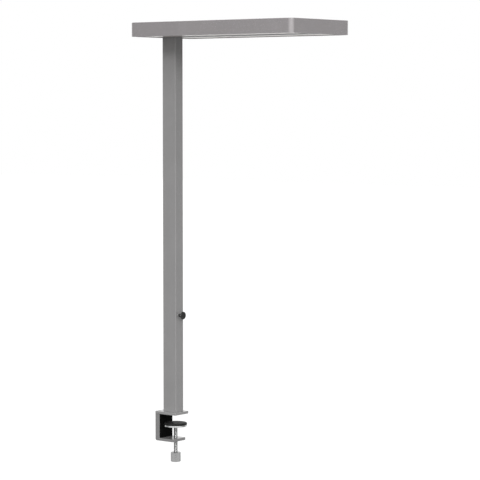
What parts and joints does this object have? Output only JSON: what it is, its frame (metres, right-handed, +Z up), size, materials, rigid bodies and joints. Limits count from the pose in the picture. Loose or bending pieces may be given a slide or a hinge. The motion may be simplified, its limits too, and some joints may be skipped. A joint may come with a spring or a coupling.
{
  "type": "desk clamp office luminaire",
  "caption": "Flat rectangular office light head on a tall rectangular pole, held to a desk edge by a screw clamp, with a push and turn dimmer knob.",
  "frame": {"origin": "on the pole's axis, on the underside of the foot plate, which rests on the desk top", "axes": "+Z up along the pole; +X along the head's long side, away from the clamp's wall; +Y across the head"},
  "size_m": [0.602, 0.28, 1.3301],
  "materials": {
    "painted_aluminium": "satin grey powder coat on aluminium",
    "grey_paint": "satin grey powder coat on steel",
    "opal_sheet": "satin opal sheet",
    "white_reflector": "matt white",
    "board": "white solder mask",
    "led_lens": "phosphor lens",
    "aluminium_sheet": "mill finish",
    "aluminium_block": "machined",
    "turned_aluminium": "fine turned, satin",
    "steel": "zinc plated",
    "driver_case": "moulded case",
    "terminal_plastic": "moulded",
    "cable_sheath": "matt",
    "black_plastic": "fine moulded texture",
    "black_rubber": "matt"
  },
  "bodies": {
    "lamp": {"head_housing": "painted_aluminium", "optic_frame": "painted_aluminium", "centre_bar": "painted_aluminium", "bar_screws": "steel", "diffuser_front": "opal_sheet", "diffuser_rear": "opal_sheet", "reflector_front": "white_reflector", "reflector_rear": "white_reflector", "led_board_front": "board", "led_board_rear": "board", "leds": "led_lens", "carrier_plate": "aluminium_sheet", "carrier_nuts": "steel", "led_driver": "driver_case", "head_terminal": "terminal_plastic", "driver_lead": "cable_sheath", "head_spigot": "aluminium_block", "head_screws": "steel", "pole_tube": "painted_aluminium", "pole_insert": "aluminium_block", "pole_screws": "steel", "cable_gland": "black_plastic", "mains_terminal": "terminal_plastic", "mains_lead": "cable_sheath", "dimmer_lead": "cable_sheath", "dimmer_body": "black_plastic", "dimmer_nut": "black_plastic", "foot_plate": "grey_paint", "foot_screws": "steel", "clamp_bracket": "grey_paint", "bracket_screws": "steel", "wall_liner": "black_rubber"},
    "pad_carrier": {"pressure_plate": "steel", "pressure_pad": "black_rubber"},
    "spindle": {"spindle": "steel", "plate_screw": "steel", "spindle_knob": "turned_aluminium", "knob_grub_screw": "steel"},
    "dimmer_plunger": {"switch_plunger": "terminal_plastic"},
    "control_knob": {"dimmer_shaft": "steel", "control_knob": "black_plastic"}
  },
  "joints": [
    {"name": "pad_slide", "type": "slide", "parent": "lamp", "child": "pad_carrier", "axis": [0, 0, 1], "range_m": [-0.036, 0.025]},
    {"name": "spindle_turn", "type": "hinge", "parent": "pad_carrier", "child": "spindle", "pos_m": [0.009, 0, -0.1], "axis": [0, 0, 1], "range_deg": [-8640, 6000]},
    {"name": "dimmer_push", "type": "slide", "parent": "lamp", "child": "dimmer_plunger", "axis": [1, 0, 0], "range_m": [-0.0015, 0], "stiffness_N_per_m": 600, "springref_m": 0.002},
    {"name": "dimmer_turn", "type": "hinge", "parent": "dimmer_plunger", "child": "control_knob", "pos_m": [0.0375, 0, 0.303], "axis": [1, 0, 0], "range_deg": [-150, 150]}
  ],
  "couplings": [
    {"joint": "spindle_turn", "follows": "pad_slide", "rad_per_m": 4188.8}
  ]
}
